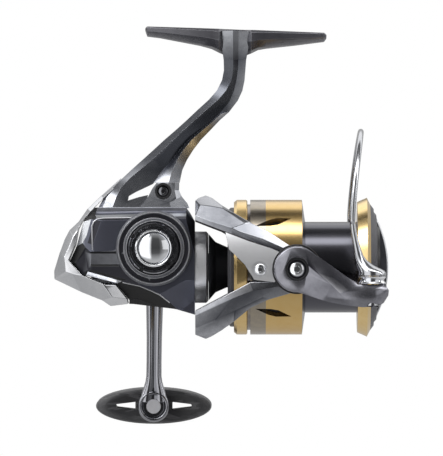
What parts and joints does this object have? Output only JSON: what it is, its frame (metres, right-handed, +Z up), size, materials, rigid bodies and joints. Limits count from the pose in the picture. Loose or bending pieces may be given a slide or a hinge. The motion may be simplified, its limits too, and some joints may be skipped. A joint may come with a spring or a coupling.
{
  "type": "spinning reel",
  "caption": "Fixed-spool spinning reel: foot and stem, gearbox with crank handle, spinning rotor with folding wire bail and line roller, sliding spool with front drag knob.",
  "frame": {"origin": "middle of the foot's seat, the flat top face of the foot that lies against the rod", "axes": "+Z up to the rod, +X forward along the spool axis, +Y out to the handle; the seat is tipped 2 degrees, lower in front"},
  "size_m": [0.1248, 0.1173, 0.1495],
  "materials": {
    "frame_paint": "satin dark gunmetal paint",
    "cover_paint": "satin blue-grey metallic paint",
    "guard_chrome": "bright plated",
    "black_plastic": "matte black",
    "bright_metal": "polished",
    "satin_silver": "satin",
    "bearing_steel": "ground",
    "brass": "machined",
    "gear_alloy": "machined",
    "dark_chrome": "polished dark chrome",
    "knob_grey": "satin moulded",
    "cap_grey": "satin",
    "rotor_paint": "satin gunmetal paint",
    "bail_paint": "satin grey metallic paint",
    "spool_gold": "gold anodised, satin",
    "lip_gold": "gold anodised, polished",
    "ring_gold": "gold anodised, brushed",
    "drag_felt": "felt and steel washers",
    "click_plastic": "moulded",
    "drag_black": "gloss black"
  },
  "bodies": {
    "reel": {"body_frame": "frame_paint", "leg_cover": "cover_paint", "side_cover": "cover_paint", "rear_guard": "guard_chrome", "cover_screw": "bright_metal", "boss_ring": "black_plastic", "side_cap": "bright_metal", "clutch_collar": "satin_silver", "clutch_cage": "brass", "pinion_bearing": "bearing_steel", "pinion_bush": "brass", "drive_bearing_near": "bearing_steel", "drive_bearing_far": "bearing_steel", "guide_rod": "bearing_steel"},
    "crank": {"drive_gear": "gear_alloy", "handle_shaft": "dark_chrome", "handle_arm": "dark_chrome", "eye_cap": "cap_grey", "knob_post": "bearing_steel"},
    "knob": {"handle_knob": "knob_grey", "knob_bearing": "bearing_steel", "knob_end_cap": "cap_grey"},
    "rotor": {"rotor": "rotor_paint", "rotor_nut": "brass", "arm_cover_near": "satin_silver", "arm_cover_far": "satin_silver", "cover_pin_near": "bright_metal", "cover_pin_far": "bright_metal", "bail_pin_near": "bright_metal", "bail_pin_far": "bright_metal", "pinion": "brass", "clutch_sleeve": "bearing_steel"},
    "worm": {"worm_shaft": "bearing_steel"},
    "bail": {"bail_arm": "bail_paint", "bail_lever": "bail_paint", "bail_wire": "bright_metal", "wire_tail": "bright_metal", "roller_cone": "bright_metal", "roller_pin": "bright_metal", "roller_bush": "brass"},
    "roller": {"line_roller": "bright_metal"},
    "shaft": {"main_shaft": "bearing_steel", "slider": "gear_alloy", "slider_pawl": "brass", "spool_seat": "gear_alloy", "spool_bearing": "bearing_steel", "drag_washers": "drag_felt"},
    "spool": {"spool": "spool_gold", "spool_rear_ring": "ring_gold", "spool_lip": "lip_gold", "lip_clamp": "drag_black", "click_gear": "click_plastic", "drag_retainer": "bearing_steel"},
    "drag_knob": {"drag_knob": "drag_black", "drag_knob_trim": "satin_silver", "drag_nut": "brass"}
  },
  "joints": [
    {"name": "crank_turn", "type": "hinge", "parent": "reel", "child": "crank", "pos_m": [-0.0303, 0, -0.0814], "axis": [0, 1, 0], "continuous": true},
    {"name": "knob_spin", "type": "hinge", "parent": "crank", "child": "knob", "pos_m": [-0.0309, 0.06, -0.1414], "axis": [0, 1, 0], "continuous": true},
    {"name": "rotor_spin", "type": "hinge", "parent": "reel", "child": "rotor", "pos_m": [0, 0, -0.0885], "axis": [1, 0, 0], "continuous": true},
    {"name": "worm_spin", "type": "hinge", "parent": "reel", "child": "worm", "pos_m": [-0.03, -0.00681, -0.0935], "axis": [1, 0, 0], "continuous": true},
    {"name": "bail_swing", "type": "hinge", "parent": "rotor", "child": "bail", "pos_m": [0.0227, 0, -0.0891], "axis": [0, 1, 0], "range_deg": [0, 90]},
    {"name": "roller_spin", "type": "hinge", "parent": "bail", "child": "roller", "pos_m": [0.0503, -0.0322, -0.0931], "axis": [0, 0, 1], "continuous": true},
    {"name": "spool_stroke", "type": "slide", "parent": "reel", "child": "shaft", "axis": [1, 0, 0], "range_m": [0, 0.019]},
    {"name": "spool_drag", "type": "hinge", "parent": "shaft", "child": "spool", "pos_m": [0.03, 0, -0.0885], "axis": [1, 0, 0], "continuous": true},
    {"name": "drag_knob_turn", "type": "hinge", "parent": "shaft", "child": "drag_knob", "pos_m": [0.052, 0, -0.0885], "axis": [1, 0, 0], "range_deg": [-180, 900]}
  ],
  "couplings": [
    {"joint": "rotor_spin", "follows": "crank_turn", "ratio": -5.3333},
    {"joint": "worm_spin", "follows": "crank_turn", "ratio": 4}
  ]
}
